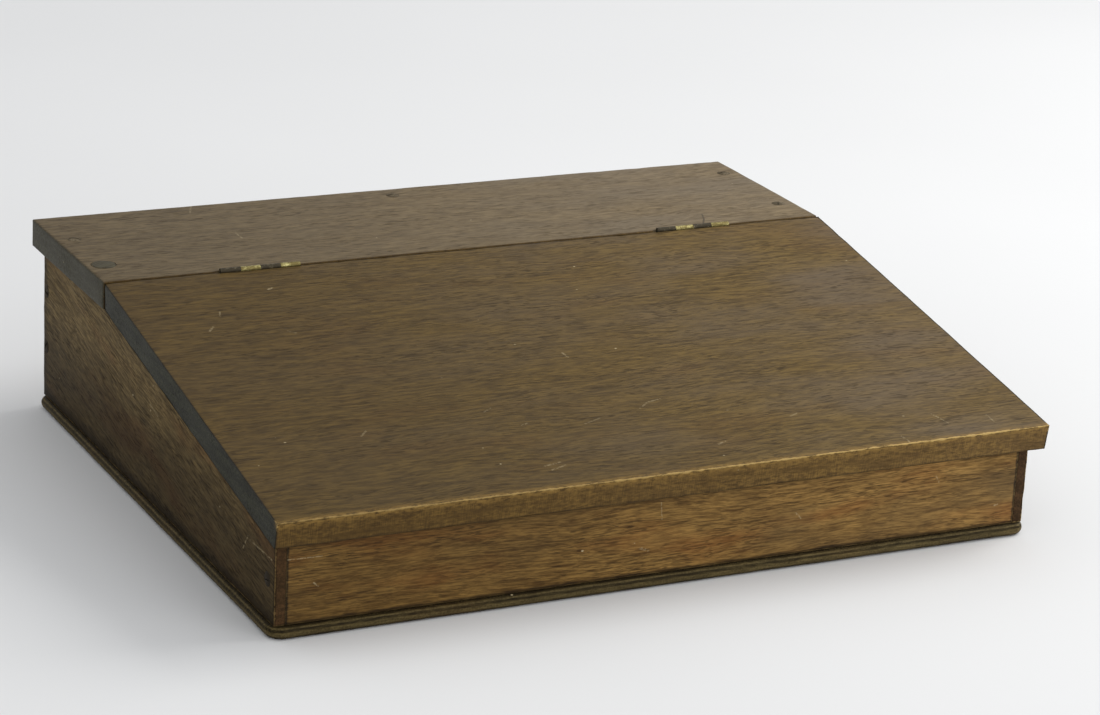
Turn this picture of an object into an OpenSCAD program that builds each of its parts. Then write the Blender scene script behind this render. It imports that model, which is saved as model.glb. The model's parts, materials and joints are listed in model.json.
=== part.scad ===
// Slant-top writing box: a case of thin boards, a fixed level ledge along the top at the back,
// and a sloping lid hung on the ledge's front edge by two small butt hinges.
// X runs along the width, the low front side faces -Y and Z is up. The origin is on the table,
// under the middle of the box.

/* [Case] */
// Width of the case, measured over its side boards
case_w = 454; // [380:1:600]
// Depth of the case, from its front face to its back face
case_d = 373; // [300:1:460]
// Height of the ledge's top face above the table
case_h = 114.8; // [100:0.2:150]
// Slope of the lid, in degrees
lid_slope = 9.8; // [6:0.1:11]

/* [Boards] */
// Thickness of each side board
side_t = 12.7; // [10:0.1:18]
// Thickness of the front board
front_t = 16; // [13:0.1:20]
// Thickness of the back board
back_t = 10.5; // [8:0.1:16]
// What the corner rabbets leave of a side board's thickness
corner_lip = 6; // [3:0.1:9]
// Thickness of the base board
base_t = 7.4; // [6:0.1:12]
// How far the base board's rounded edge stands proud of the case
base_proud = 3; // [1:0.1:4]
// Radius of the base board's corners, seen from above
base_corner_r = 9; // [7:0.5:20]

/* [Ledge] */
// Depth of the ledge board, front edge to back edge
ledge_d = 128; // [100:1:160]
// Thickness of the ledge board
ledge_t = 16.5; // [15.5:0.1:20]
// How far the ledge stands out past the back of the case
ledge_back_over = 8.8; // [0:0.1:15]
// How far the ledge and the lid stand out past each side of the case
side_over = 4.5; // [1:0.1:12]

/* [Lid] */
// Thickness of the lid, measured square to its face
lid_t = 15.2; // [13.5:0.1:20]
// How far the lid's top edge stands out past the front of the case
lid_front_over = 11.8; // [4:0.1:20]
// Gap between the lid and the sloping edges that it rests on
lid_rest_gap = 0.3; // [0.1:0.05:1]
// Gap between the lid's back edge and the ledge's front edge
joint_gap = 1.6; // [1:0.1:2.4]

/* [Hinges] */
// Length of each hinge
hinge_len = 48.8; // [40:0.1:60]
// Distance from the case's left face to the left hinge
hinge_left_in = 65; // [20:1:90]
// Distance from the case's right face to the right hinge
hinge_right_in = 59; // [20:1:90]
// Outside diameter of the knuckles
knuckle_d = 3.4; // [3.2:0.1:4.6]
// Diameter of the hinge pin
pin_d = 1.8; // [1.2:0.1:2]
// Height of the pin's centre above the ledge's top face
pin_up = 0.2; // [0.2:0.1:0.8]
// Height of each leaf below the pin's centre
leaf_h = 12; // [10.5:0.1:12.5]
// Thickness of each leaf
leaf_t = 1; // [0.8:0.1:1.2]
// Gap between the two leaves of a closed hinge
leaf_gap = 0.3; // [0.2:0.05:0.4]
// Distance between neighbouring screws in a leaf
leaf_screw_pitch = 16.5; // [10:0.5:17]
// Depth of the leaf screws below the pin's centre
leaf_screw_down = 7.4; // [6:0.1:7.6]

/* [Case screws] */
// Head diameter of the case screws
screw_head_d = 8; // [6:0.1:9]
// Shank diameter of the case screws
screw_shank_d = 4.2; // [3:0.1:4.8]
// Height of the low dome on the heads that show
screw_dome = 0.9; // [0.5:0.1:1.2]
// Length of the screws down through the ledge
ledge_screw_len = 38; // [26:1:45]
// Length of the screws through the side boards
side_screw_len = 32; // [20:1:45]
// Length of the screws up through the base board
base_screw_len = 25; // [16:1:32]
// Distance of the ledge's back left screw from the back of the case
ledge_back_left_in = 37; // [12:1:40]
// Distance of the ledge's back right screw from the back of the case
ledge_back_right_in = 18; // [12:1:40]
// Distance of the ledge's front left screw, the plugged one, from the ledge's front edge
ledge_front_left_in = 31; // [16:1:36]
// Distance of the ledge's front right screw from the ledge's front edge
ledge_front_right_in = 30; // [12:1:36]
// Distance of the ledge's middle screw from the middle of the box, to the left
ledge_mid_left = 5; // [-60:1:60]
// Distance of the front corner screws from the front of the case
front_screw_in = 10; // [4:0.5:10.5]
// Height of the front corner screws above the base board
front_screw_up = 22.7; // [12:0.1:24]
// Height of the lower back corner screws above the base board
back_low_up = 32; // [16:0.1:40]
// Height of the upper back corner screws above the base board
back_high_up = 66.6; // [50:0.1:68]
// Distance of the base's outer screws along each side from the front and back of the case
base_side_in = 75; // [40:1:100]
// Distance of the base's front and back screws from each side of the case
base_cross_in = 113; // [60:1:150]
// Diameter of the wooden plug over the ledge's left front screw
plug_d = 14.4; // [10:0.2:18]
// Thickness of that plug
plug_t = 4; // [2.5:0.1:5]

/* [Leaf screws] */
// Head diameter of the screws in the hinge leaves
leaf_head_d = 5.2; // [4:0.1:5.6]
// Shank diameter of those screws
leaf_shank_d = 2.8; // [2:0.1:3.2]
// Length of those screws
leaf_screw_len = 12.7; // [9:0.1:16]

/* [Fits] */
// Radial clearance of the pin in the lid's knuckles
pin_clear = 0.05; // [0.02:0.01:0.1]
// Gap between neighbouring knuckles
knuckle_clear = 0.2; // [0.1:0.05:0.4]
// Radial clearance round the knuckles in their groove
groove_clear = 0.4; // [0.3:0.05:0.6]
// Spare length of the groove at a hinge's left end
groove_spare = 2; // [0.5:0.1:4]
// Clearance round a leaf in its mortise
mortise_clear = 0.1; // [0.05:0.05:0.3]
// Clearance of a screw in the wood
screw_clear = 0.05; // [0.02:0.01:0.1]
// Radial clearance round the wooden plug
plug_clear = 0.2; // [0.1:0.05:0.4]

/* [Hidden] */
$fn = 48;
cut = 1; // how far a cutter runs past the face that it opens

// Places along Y, with the whole box centred on the origin
front_y = lid_front_over - (lid_front_over + case_d + ledge_back_over) / 2;
back_y = front_y + case_d;
ledge_back_y = back_y + ledge_back_over;
ledge_front_y = ledge_back_y - ledge_d;
joint_y = ledge_front_y - joint_gap / 2;
lid_back_y = joint_y - joint_gap / 2;
lid_front_y = front_y - lid_front_over;

// Places along X
side_x = case_w / 2;
panel_end_x = side_x - corner_lip;
side_mid_x = side_x - side_t / 2;
cover_w = case_w + 2 * side_over;

// Heights
seat_z = case_h - ledge_t;
pin_z = case_h + pin_up;
function lid_top(y) = case_h - tan(lid_slope) * (joint_y - y);
function lid_under(y) = lid_top(y) - lid_t / cos(lid_slope);
function case_top(y) = lid_under(y) - lid_rest_gap;

// The hinges, each given by the X of its left end
hinge_left_x = -side_x + hinge_left_in;
hinge_right_x = side_x - hinge_right_in - hinge_len;
knuckle_r = knuckle_d / 2;
knuckle_len = hinge_len / 4;
ledge_knuckles = [0, 2];
lid_knuckles = [1, 3];
leaf_out = leaf_gap / 2 + leaf_t;
leaf_screws_x = [for (i = [-1:1]) hinge_len / 2 + i * leaf_screw_pitch];
leaf_slot = [0.9, 0.5];

// Screws in the case: the slot is [width, depth], the places are points on the outer faces
case_slot = [1.1, 0.9];
slot_turn = 20; // the side screws' slots on the ledge are this far out of line
tip_share = 0.25; // how much of a screw's length its point takes
hole_end = 1; // spare depth of a screw hole past the screw's tip
back_mid_y = back_y - back_t / 2;
plug_up = 0.3; // how far the plug stands above the ledge
plug_place = [-side_mid_x, ledge_front_y + ledge_front_left_in, case_h];
ledge_places = [
    plug_place - [0, 0, plug_t + screw_dome],
    [-side_mid_x, back_y - ledge_back_left_in, case_h],
    [-ledge_mid_left, back_mid_y, case_h],
    [side_mid_x, back_y - ledge_back_right_in, case_h],
    [side_mid_x, ledge_front_y + ledge_front_right_in, case_h]
];
side_places = [
    [front_y + front_screw_in, base_t + front_screw_up],
    [back_mid_y, base_t + back_low_up],
    [back_mid_y, base_t + back_high_up]
];
base_sink = 0.2; // how far the base's screw heads lie above its underside
base_side_y = [front_y + base_side_in, (front_y + back_y) / 2, back_y - base_side_in];
base_cross_x = side_x - base_cross_in;
base_places = [
    for (side = [-1, 1]) each concat(
        [for (y = base_side_y) [side * side_mid_x, y]],
        [for (y = [front_y + front_t / 2, back_mid_y]) [side * base_cross_x, y]]
    )
];

wood_lid = [0.40, 0.28, 0.15];
wood_ledge = [0.38, 0.28, 0.20];
wood_case = [0.42, 0.27, 0.13];
wood_side = [0.30, 0.22, 0.15];
wood_base = [0.22, 0.17, 0.11];
wood_plug = [0.36, 0.31, 0.24];
brass = [0.78, 0.66, 0.30];
brass_pin = [0.60, 0.50, 0.26];
dark_steel = [0.12, 0.10, 0.09];

// Sweeps an outline drawn in Y and Z along X, centred on X = 0
module along_x(length) {
    translate([-length / 2, 0, 0])
        rotate([90, 0, 90])
            linear_extrude(length) children();
}

// A rod along X that starts at x
module rod_x(x, length, r) {
    translate([x, joint_y, pin_z])
        rotate([0, 90, 0])
            cylinder(h = length, r = r);
}

// ---- Screws: head face at z = 0, shank down -Z, grown all round by clear ----

module screw_shank(length, head_d, shank_d, clear = 0) {
    head_r = head_d / 2 + clear;
    shank_r = shank_d / 2 + clear;
    tip_h = length * tip_share;
    translate([0, 0, shank_r - head_r])
        cylinder(h = head_r - shank_r, r1 = shank_r, r2 = head_r);
    translate([0, 0, tip_h - length])
        cylinder(h = length - tip_h - (head_r - shank_r), r = shank_r);
    translate([0, 0, -length])
        cylinder(h = tip_h, r1 = shank_r / 4, r2 = shank_r);
}

module screw_slot(head_d, slot, top) {
    translate([-head_d, -slot.x / 2, top - slot.y])
        cube([2 * head_d, slot.x, slot.y + cut]);
}

module flat_screw(length, head_d, shank_d, slot) {
    difference() {
        screw_shank(length, head_d, shank_d);
        screw_slot(head_d, slot, 0);
    }
}

module domed_screw(length) {
    head_r = screw_head_d / 2;
    dome_r = (head_r * head_r + screw_dome * screw_dome) / (2 * screw_dome);
    difference() {
        union() {
            screw_shank(length, screw_head_d, screw_shank_d);
            intersection() {
                translate([0, 0, screw_dome - dome_r]) sphere(dome_r);
                cylinder(h = screw_dome, r = head_r);
            }
        }
        screw_slot(screw_head_d, case_slot, screw_dome);
    }
}

// The room that a screw takes in the boards: its countersink and a hole for its shank
module screw_room(length, head_d, shank_d) {
    head_r = head_d / 2 + screw_clear;
    shank_r = shank_d / 2 + screw_clear;
    translate([0, 0, shank_r - head_r])
        cylinder(h = head_r - shank_r, r1 = shank_r, r2 = head_r);
    cylinder(h = screw_dome + cut, r = head_r);
    translate([0, 0, -length - hole_end])
        cylinder(h = length + hole_end, r = shank_r);
}

module case_screw_room(length) {
    screw_room(length, screw_head_d, screw_shank_d);
}

module at_ledge_screws() {
    for (p = ledge_places) translate(p) rotate(slot_turn * sign(p.x)) children();
}

// side is -1 for the left side of the case and 1 for the right
module at_side_screws(side) {
    for (p = side_places) translate([side * side_x, p.x, p.y]) rotate([0, side * 90, 0]) children();
}

module at_base_screws() {
    for (p = base_places) translate([p.x, p.y, base_sink]) rotate([180, 0, 0]) children();
}

// ---- Case ----

// The base board's edge, seen from its end: flat top and bottom, full round outside
module base_edge(depth) {
    square([depth - base_t / 2, base_t]);
    translate([depth - base_t / 2, base_t / 2]) intersection() {
        circle(d = base_t);
        translate([0, -base_t / 2]) square([base_t / 2, base_t]);
    }
}

module base_board() {
    half_x = side_x + base_proud - base_corner_r;
    half_y = case_d / 2 + base_proud - base_corner_r;
    color(wood_base)
        difference() {
            translate([0, (front_y + back_y) / 2, 0]) {
                translate([-half_x, -half_y, 0]) cube([2 * half_x, 2 * half_y, base_t]);
                for (turn = [0, 180]) rotate(turn) {
                    translate([-half_x, half_y, 0]) rotate([90, 0, 90])
                        linear_extrude(2 * half_x) base_edge(base_corner_r);
                    translate([half_x, half_y, 0]) rotate([90, 0, 0])
                        linear_extrude(2 * half_y) base_edge(base_corner_r);
                    translate([half_x, half_y, 0])
                        rotate_extrude(angle = 90) base_edge(base_corner_r);
                    translate([-half_x, half_y, 0]) rotate(90)
                        rotate_extrude(angle = 90) base_edge(base_corner_r);
                }
            }
            at_base_screws() case_screw_room(base_screw_len);
        }
}

module front_panel() {
    inner_y = front_y + front_t;
    color(wood_case)
        difference() {
            along_x(2 * panel_end_x)
                polygon([
                    [front_y, base_t], [inner_y, base_t],
                    [inner_y, case_top(inner_y)], [front_y, case_top(front_y)]
                ]);
            for (side = [-1, 1]) at_side_screws(side) case_screw_room(side_screw_len);
            at_base_screws() case_screw_room(base_screw_len);
        }
}

module back_panel() {
    color(wood_case)
        difference() {
            translate([-panel_end_x, back_y - back_t, base_t])
                cube([2 * panel_end_x, back_t, seat_z - base_t]);
            for (side = [-1, 1]) at_side_screws(side) case_screw_room(side_screw_len);
            at_base_screws() case_screw_room(base_screw_len);
            at_ledge_screws() case_screw_room(ledge_screw_len);
        }
}

// side is -1 for the left board and 1 for the right
module side_panel(side) {
    rabbet = side_t - corner_lip;
    inner_x = side > 0 ? side_x - side_t : -side_x + side_t;
    rabbet_x = side > 0 ? inner_x - cut : inner_x - rabbet;
    color(wood_side)
        difference() {
            translate([side * side_mid_x, 0, 0])
                along_x(side_t)
                    polygon([
                        [front_y, base_t], [back_y, base_t],
                        [back_y, seat_z], [ledge_front_y, seat_z],
                        [ledge_front_y, case_top(ledge_front_y)], [front_y, case_top(front_y)]
                    ]);
            translate([rabbet_x, front_y - cut, base_t - cut])
                cube([rabbet + cut, front_t + cut, case_h]);
            translate([rabbet_x, back_y - back_t, base_t - cut])
                cube([rabbet + cut, back_t + cut, case_h]);
            at_side_screws(side) case_screw_room(side_screw_len);
            at_base_screws() case_screw_room(base_screw_len);
            at_ledge_screws() case_screw_room(ledge_screw_len);
        }
}

module ledge_board() {
    color(wood_ledge)
        difference() {
            translate([-cover_w / 2, ledge_front_y, seat_z]) cube([cover_w, ledge_d, ledge_t]);
            for (x = [hinge_left_x, hinge_right_x]) hinge_room(x, 1);
            at_ledge_screws() case_screw_room(ledge_screw_len);
            translate(plug_place - [0, 0, plug_t])
                cylinder(h = plug_t + cut, r = plug_d / 2 + plug_clear);
        }
}

module ledge_screws() {
    color(dark_steel) at_ledge_screws() domed_screw(ledge_screw_len);
}

module ledge_plug() {
    color(wood_plug)
        translate(plug_place - [0, 0, plug_t])
            cylinder(h = plug_t + plug_up, d = plug_d);
}

module side_screws(side) {
    color(dark_steel) at_side_screws(side) domed_screw(side_screw_len);
}

module base_screws() {
    color(dark_steel)
        at_base_screws() flat_screw(base_screw_len, screw_head_d, screw_shank_d, case_slot);
}

// ---- Lid ----

module lid_panel() {
    color(wood_lid)
        difference() {
            along_x(cover_w)
                polygon([
                    [lid_back_y, lid_top(lid_back_y)], [lid_front_y, lid_top(lid_front_y)],
                    [lid_front_y + lid_t * sin(lid_slope),
                        lid_top(lid_front_y) - lid_t * cos(lid_slope)],
                    [lid_back_y, lid_under(lid_back_y)]
                ]);
            for (x = [hinge_left_x, hinge_right_x]) hinge_room(x, -1);
        }
}

// ---- Hinges: side is 1 for the ledge's half and -1 for the lid's ----

// Turns a screw so that its head faces the joint, at the three places in a leaf
module at_leaf_screws(x, side) {
    for (dx = leaf_screws_x)
        translate([x + dx, joint_y + side * leaf_gap / 2, pin_z - leaf_screw_down])
            rotate([side * 90, 0, 0]) children();
}

// A slab that starts on the joint's middle plane and runs dy into the ledge or the lid
module joint_slab(x, side, length, dy, z, height) {
    translate([x, side > 0 ? joint_y : joint_y - dy, z]) cube([length, dy, height]);
}

// What a hinge takes out of the ledge or the lid: groove, mortise and screw holes
module hinge_room(x, side) {
    rod_x(x - groove_spare, hinge_len + groove_spare + groove_clear, knuckle_r + groove_clear);
    joint_slab(
        x - mortise_clear, side, hinge_len + 2 * mortise_clear, leaf_out,
        pin_z - leaf_h - mortise_clear, leaf_h + mortise_clear
    );
    at_leaf_screws(x, side) screw_room(leaf_screw_len, leaf_head_d, leaf_shank_d);
}

module leaf(x, side, knuckles, bore_r) {
    other = [for (i = [0:3]) if (len(search(i, knuckles)) == 0) i];
    color(brass)
        difference() {
            union() {
                joint_slab(x, side, hinge_len, leaf_out, pin_z - leaf_h, leaf_h);
                for (i = knuckles) rod_x(x + i * knuckle_len, knuckle_len, knuckle_r);
            }
            joint_slab(x - cut, side, hinge_len + 2 * cut, leaf_gap / 2,
                pin_z - leaf_h - cut, leaf_h + cut - knuckle_r);
            for (i = other)
                rod_x(x + i * knuckle_len - knuckle_clear / 2, knuckle_len + knuckle_clear,
                    knuckle_r + groove_clear);
            rod_x(x - cut, hinge_len + 2 * cut, bore_r);
            at_leaf_screws(x, side) screw_room(leaf_screw_len, leaf_head_d, leaf_shank_d);
        }
}

module ledge_leaf(x) {
    leaf(x, 1, ledge_knuckles, pin_d / 2);
}

module lid_leaf(x) {
    leaf(x, -1, lid_knuckles, pin_d / 2 + pin_clear);
}

module hinge_pin(x) {
    color(brass_pin) rod_x(x, hinge_len, pin_d / 2);
}

module leaf_screws(x, side) {
    color(brass_pin)
        at_leaf_screws(x, side) flat_screw(leaf_screw_len, leaf_head_d, leaf_shank_d, leaf_slot);
}

base_board();
front_panel();
back_panel();
side_panel(-1);  // side_panel_left
side_panel(1);  // side_panel_right
ledge_board();
ledge_screws();
ledge_plug();
side_screws(-1);  // side_screws_left
side_screws(1);  // side_screws_right
base_screws();
ledge_leaf(hinge_left_x);  // hinge_left_ledge_leaf
hinge_pin(hinge_left_x);  // hinge_left_pin
leaf_screws(hinge_left_x, 1);  // hinge_left_ledge_screws
ledge_leaf(hinge_right_x);  // hinge_right_ledge_leaf
hinge_pin(hinge_right_x);  // hinge_right_pin
leaf_screws(hinge_right_x, 1);  // hinge_right_ledge_screws
lid_panel();
lid_leaf(hinge_left_x);  // hinge_left_lid_leaf
leaf_screws(hinge_left_x, -1);  // hinge_left_lid_screws
lid_leaf(hinge_right_x);  // hinge_right_lid_leaf
leaf_screws(hinge_right_x, -1);  // hinge_right_lid_screws
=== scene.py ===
import json
import math

import bmesh
import bpy
from mathutils import Matrix, Vector, noise


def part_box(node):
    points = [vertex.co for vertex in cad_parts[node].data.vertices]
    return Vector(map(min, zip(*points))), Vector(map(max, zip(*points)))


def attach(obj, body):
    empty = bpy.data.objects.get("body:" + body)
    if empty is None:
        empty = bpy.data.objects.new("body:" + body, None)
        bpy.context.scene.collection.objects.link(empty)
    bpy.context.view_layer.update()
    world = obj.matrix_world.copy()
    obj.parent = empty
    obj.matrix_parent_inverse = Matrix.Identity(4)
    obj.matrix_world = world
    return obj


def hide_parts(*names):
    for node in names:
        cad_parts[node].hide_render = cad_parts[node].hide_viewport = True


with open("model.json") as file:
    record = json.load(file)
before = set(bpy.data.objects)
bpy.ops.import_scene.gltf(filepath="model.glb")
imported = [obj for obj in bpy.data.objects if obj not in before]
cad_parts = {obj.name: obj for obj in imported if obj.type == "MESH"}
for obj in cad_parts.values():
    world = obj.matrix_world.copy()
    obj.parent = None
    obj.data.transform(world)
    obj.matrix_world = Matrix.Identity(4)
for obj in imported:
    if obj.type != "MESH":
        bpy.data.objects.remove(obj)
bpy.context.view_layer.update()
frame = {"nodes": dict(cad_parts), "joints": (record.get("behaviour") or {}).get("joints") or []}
mm = 0.001
print("frame loaded")


# A colour given as it looks on a screen, 0 to 255, as the linear colour that a shader wants
def tint(red, green, blue):
    linear = []
    for level in (red, green, blue):
        share = level / 255
        linear.append(share / 12.92 if share <= 0.04045 else ((share + 0.055) / 1.055) ** 2.4)
    return (*linear, 1.0)


# One output of a shader node, so that the maths on it reads as plain Python
class Wire:
    def __init__(self, shader, socket):
        self.shader = shader
        self.socket = socket

    def math(self, operation, *values):
        return self.shader.add("ShaderNodeMath", {"operation": operation}, dict(enumerate(values)))

    def __add__(self, other):
        return self.math("ADD", self, other)

    def __radd__(self, other):
        return self.math("ADD", other, self)

    def __sub__(self, other):
        return self.math("SUBTRACT", self, other)

    def __rsub__(self, other):
        return self.math("SUBTRACT", other, self)

    def __mul__(self, other):
        return self.math("MULTIPLY", self, other)

    def __rmul__(self, other):
        return self.math("MULTIPLY", other, self)

    def least(self, other):
        return self.math("MINIMUM", self, other)

    def most(self, other):
        return self.math("MAXIMUM", self, other)

    # 0 at low, 1 at high and a smooth rise between them
    def rise(self, low, high):
        ends = {"Value": self, "From Min": low, "From Max": high}
        return self.shader.add("ShaderNodeMapRange", {"interpolation_type": "SMOOTHSTEP"}, ends)

    # 1 at low, 0 at high and a smooth fall between them
    def fall(self, low, high):
        return 1.0 - self.rise(low, high)


class Shader:
    def __init__(self, name):
        self.material = bpy.data.materials.new(name)
        self.material.use_nodes = True
        self.tree = self.material.node_tree
        self.tree.nodes.clear()

    # Every node is made here: its type, its settings, then what goes into its sockets
    def add(self, kind, settings, inputs, output=0):
        node = self.tree.nodes.new(kind)
        for key, value in settings.items():
            setattr(node, key, value)
        for key, value in inputs.items():
            if isinstance(value, Wire):
                self.tree.links.new(value.socket, node.inputs[key])
            else:
                node.inputs[key].default_value = value
        return Wire(self, node.outputs[output]) if node.outputs else None

    def vector(self, operation, first, second, output=0):
        return self.add("ShaderNodeVectorMath", {"operation": operation}, {0: first, 1: second}, output)

    def axes(self, vector):
        return [self.add("ShaderNodeSeparateXYZ", {}, {0: vector}, index) for index in range(3)]

    def join(self, x, y, z):
        return self.add("ShaderNodeCombineXYZ", {}, {0: x, 1: y, 2: z})

    def mix(self, factor, first, second, blend="MIX"):
        settings = {"data_type": "RGBA", "blend_type": blend}
        return self.add("ShaderNodeMix", settings, {0: factor, 6: first, 7: second}, 2)

    # Noise from 0 to 1 whose features are about as long as size says along each axis
    def noise(self, place, size, detail=2.0, roughness=0.5, shift=0.0):
        scaled = self.vector("MULTIPLY", place, tuple(1 / length for length in size))
        moved = self.vector("ADD", scaled, (shift, shift * 1.7, shift * 0.6))
        inputs = {"Vector": moved, "Scale": 1.0, "Detail": detail, "Roughness": roughness}
        return self.add("ShaderNodeTexNoise", {}, inputs)

    # Scattered round specks about spacing apart, as the distance to the nearest one in spacings
    def specks(self, place, spacing, shift=0.0):
        scaled = self.vector("MULTIPLY", place, tuple(1 / length for length in spacing))
        moved = self.vector("ADD", scaled, (shift, shift, shift))
        return self.add("ShaderNodeTexVoronoi", {}, {"Vector": moved, "Scale": 1.0})

    # Distance from a point to the straight stroke between two points
    def stroke(self, place, start, end):
        along = Vector(end) - Vector(start)
        offset = self.vector("SUBTRACT", place, start)
        share = self.vector("DOT_PRODUCT", offset, tuple(along / along.length_squared), 1)
        share = share.most(0.0).least(1.0)
        foot = self.vector("MULTIPLY", self.join(share, share, share), tuple(along))
        return self.vector("DISTANCE", offset, foot, 1)

    # How deep a place lies under each face of a convex board, and how far it is from the
    # nearest arris; a face is a point on it and its outward normal
    def depths(self, place, faces):
        under = []
        for point, normal in faces:
            reach = sum(a * b for a, b in zip(point, normal))
            under.append(reach - self.vector("DOT_PRODUCT", place, normal, 1))
        nearest = under[0].least(under[1])
        second = under[0].most(under[1])
        for depth in under[2:]:
            second = second.least(nearest.most(depth))
            nearest = nearest.least(depth)
        return under, second

    def surface(self, color, roughness, metallic, height, bumpDepth, specular=0.5):
        normal = self.add("ShaderNodeBump", {}, {"Strength": 1.0, "Distance": bumpDepth, "Height": height})
        inputs = {"Base Color": color, "Roughness": roughness, "Metallic": metallic, "Normal": normal}
        inputs["Specular IOR Level"] = specular
        shaded = self.add("ShaderNodeBsdfPrincipled", {}, inputs)
        self.add("ShaderNodeOutputMaterial", {}, {"Surface": shaded})
        return self.material


# The camera: its place in metres, its heading from +Y towards +X, how far it looks up and
# how far it is turned about its own line of sight, in degrees
cameraSettings = {
    "place": (-0.849158, -1.704697, 0.716548),
    "heading": 26.93,
    "lookUp": -18.768,
    "roll": 3.019,
    "lens": 114.056,
}


def addCamera():
    data = bpy.data.cameras.new("camera")
    data.lens = cameraSettings["lens"]
    data.sensor_width = 36
    data.clip_end = 50
    camera = bpy.data.objects.new("camera", data)
    bpy.context.scene.collection.objects.link(camera)
    heading = Matrix.Rotation(math.radians(-cameraSettings["heading"]), 4, "Z")
    tilt = Matrix.Rotation(math.radians(90 + cameraSettings["lookUp"]), 4, "X")
    roll = Matrix.Rotation(math.radians(cameraSettings["roll"]), 4, "Z")
    camera.matrix_world = Matrix.Translation(cameraSettings["place"]) @ heading @ tilt @ roll
    bpy.context.scene.camera = camera


lightSettings = {
    "key": {"place": (1.72, -0.08, 1.5), "size": 1.5, "power": 29, "tint": (1.0, 0.985, 0.95)},
    "front": {"place": (0.7, -2.2, 1.0), "size": 1.8, "power": 14, "tint": (1.0, 0.99, 0.97)},
    "aim": (0.0, 0.0, 0.05),
    "room": (0.975, 0.98, 0.98, 1.0),
    "roomStrength": 0.7,
}


def addLights():
    for name in ("key", "front"):
        settings = lightSettings[name]
        data = bpy.data.lights.new(name, "AREA")
        data.size = settings["size"]
        data.energy = settings["power"]
        data.color = settings["tint"]
        light = bpy.data.objects.new(name, data)
        light.location = settings["place"]
        direction = Vector(lightSettings["aim"]) - light.location
        light.rotation_euler = direction.to_track_quat("-Z", "Y").to_euler()
        bpy.context.scene.collection.objects.link(light)
    room = bpy.data.worlds.new("room")
    room.use_nodes = True
    background = room.node_tree.nodes["Background"]
    background.inputs["Color"].default_value = lightSettings["room"]
    background.inputs["Strength"].default_value = lightSettings["roomStrength"]
    bpy.context.scene.world = room
    bpy.context.scene.view_settings.view_transform = "Standard"


floorSettings = {
    "radius": 9.0, "segments": 96, "tints": (tint(226, 227, 229), tint(233, 234, 236)),
    "roughness": 0.75, "specular": 0.2, "bump": 0.0001,
}


def addFloor():
    s = floorSettings
    bm = bmesh.new()
    bmesh.ops.create_circle(bm, cap_ends=True, segments=s["segments"], radius=s["radius"])
    mesh = bpy.data.meshes.new("floor")
    bm.to_mesh(mesh)
    bm.free()
    floor = bpy.data.objects.new("floor", mesh)
    bpy.context.scene.collection.objects.link(floor)
    shader = Shader("floor")
    place = shader.add("ShaderNodeTexCoord", {}, {}, 3)
    cloud = shader.noise(place, (0.5, 0.5, 0.5))
    color = shader.mix(cloud, *s["tints"])
    surface = shader.surface(color, s["roughness"], 0.0, cloud, s["bump"], s["specular"])
    mesh.materials.append(surface)


addCamera()
addLights()
addFloor()
print("camera, lights and floor placed")


# What lies where, in millimetres, from the frame
def boxOf(node):
    low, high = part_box(node)
    return low / mm, high / mm


pinPlace = Vector(frame["joints"][0]["pos_m"]) / mm
hingeEnds = {}
for side in ("left", "right"):
    low, high = boxOf(f"hinge_{side}_pin")
    hingeEnds[side] = (low.x, high.x)


# The separate solids of a CAD node, each as (lowest corner, highest corner)
def solidsOf(node):
    bm = bmesh.new()
    bm.from_mesh(frame["nodes"][node].data)
    bmesh.ops.scale(bm, vec=(1 / mm, 1 / mm, 1 / mm), verts=bm.verts)
    bmesh.ops.remove_doubles(bm, verts=bm.verts, dist=0.001)
    solids = []
    waiting = set(bm.verts)
    while waiting:
        island = [waiting.pop()]
        for vert in island:
            for edge in vert.link_edges:
                other = edge.other_vert(vert)
                if other in waiting:
                    waiting.remove(other)
                    island.append(other)
        low = Vector([min(vert.co[axis] for vert in island) for axis in range(3)])
        high = Vector([max(vert.co[axis] for vert in island) for axis in range(3)])
        solids.append((low, high))
    bm.free()
    return sorted(solids, key=lambda box: (round(box[0].x), round(box[0].y), round(box[0].z)))


# Meshes are worked on in millimetres and shrunk to metres when they are finished
def newObject(name, bm):
    mesh = bpy.data.meshes.new(name)
    bm.to_mesh(mesh)
    bm.free()
    shape = bpy.data.objects.new(name, mesh)
    bpy.context.scene.collection.objects.link(shape)
    return shape


def finishPiece(shape, node, body, material, sharpAngle=38):
    bm = bmesh.new()
    bm.from_mesh(shape.data)
    bmesh.ops.remove_doubles(bm, verts=bm.verts, dist=0.002)
    bmesh.ops.dissolve_degenerate(bm, edges=bm.edges, dist=0.002)
    bmesh.ops.scale(bm, vec=(mm, mm, mm), verts=bm.verts)
    for face in bm.faces:
        face.smooth = True
        face.material_index = 0
    for edge in bm.edges:
        edge.smooth = edge.is_manifold and edge.calc_face_angle(0.0) < math.radians(sharpAngle)
    bm.to_mesh(shape.data)
    bm.free()
    shape.data.materials.clear()
    shape.data.materials.append(material)
    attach(shape, body)
    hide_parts(node)
    return shape


# Cuts the cutters out of a shape, or joins them to it, one after the other
def carve(shape, cutters, operation="DIFFERENCE"):
    for cutter in cutters:
        change = shape.modifiers.new("carve", "BOOLEAN")
        change.operation = operation
        change.object = cutter
        change.solver = "EXACT"
    graph = bpy.context.evaluated_depsgraph_get()
    carved = bpy.data.meshes.new_from_object(shape.evaluated_get(graph))
    shape.modifiers.clear()
    shape.data = carved
    for cutter in cutters:
        bpy.data.objects.remove(cutter)


# A block between two corners
def blockShape(name, low, high):
    bm = bmesh.new()
    bmesh.ops.create_cube(bm, size=1)
    bmesh.ops.scale(bm, vec=Vector(high) - Vector(low), verts=bm.verts)
    bmesh.ops.translate(bm, vec=(Vector(low) + Vector(high)) / 2, verts=bm.verts)
    return newObject(name, bm)


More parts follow.
